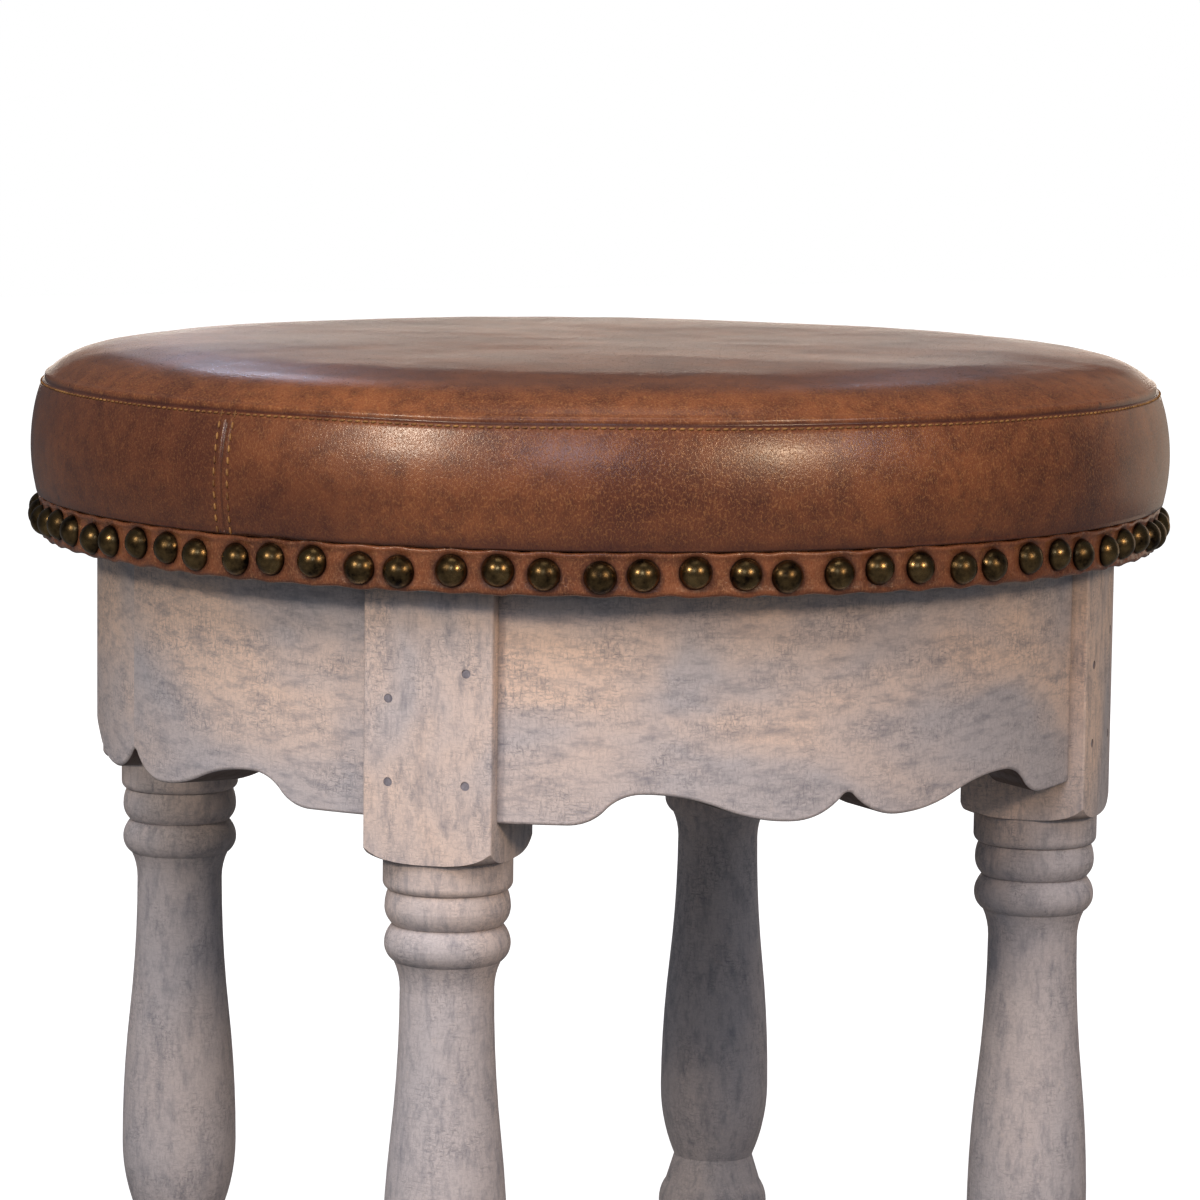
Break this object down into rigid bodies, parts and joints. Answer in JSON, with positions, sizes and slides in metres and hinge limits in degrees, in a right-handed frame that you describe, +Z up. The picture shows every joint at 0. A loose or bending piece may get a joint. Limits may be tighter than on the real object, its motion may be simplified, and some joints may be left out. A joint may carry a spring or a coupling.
{
  "type": "vanity stool",
  "caption": "Round dressing stool with a leather box cushion, a nailed trim band, scalloped curved aprons and turned legs in limed wood.",
  "frame": {"origin": "on the floor, under the middle of the seat", "axes": "+Z up; the aprons face -Y (front), +X (right), +Y (back) and -X (left), and the legs are on the diagonals"},
  "size_m": [0.4379, 0.4379, 0.47],
  "materials": {
    "seat_leather": "glazed tan leather",
    "band_leather": "red-brown leather strip",
    "antique_brass": "antique brass",
    "limed_wood": "limed and lightly worn",
    "pin_wood": "dark end grain",
    "raw_wood": "planed, unfinished",
    "plywood": "unfinished plywood",
    "foam": "cut foam",
    "dust_cloth": "black non-woven cloth",
    "steel": "zinc-plated steel",
    "glide_plastic": "matte"
  },
  "bodies": {
    "root": {"apron_back": "limed_wood", "apron_front": "limed_wood", "apron_left": "limed_wood", "apron_right": "limed_wood", "cleat_screws": "steel", "dust_cover": "dust_cloth", "dust_cover_staples": "steel", "foot_glide_back_left": "glide_plastic", "foot_glide_back_right": "glide_plastic", "foot_glide_front_left": "glide_plastic", "foot_glide_front_right": "glide_plastic", "leather_boxing": "seat_leather", "leather_top_panel": "seat_leather", "leather_trim_band": "band_leather", "leg_back_left": "limed_wood", "leg_back_right": "limed_wood", "leg_front_left": "limed_wood", "leg_front_right": "limed_wood", "seat_board": "plywood", "seat_cleat_back": "raw_wood", "seat_cleat_front": "raw_wood", "seat_cleat_left": "raw_wood", "seat_cleat_right": "raw_wood", "seat_foam": "foam", "seat_screws": "steel", "tenon_pins": "pin_wood", "upholstery_nails": "antique_brass"}
  },
  "joints": []
}
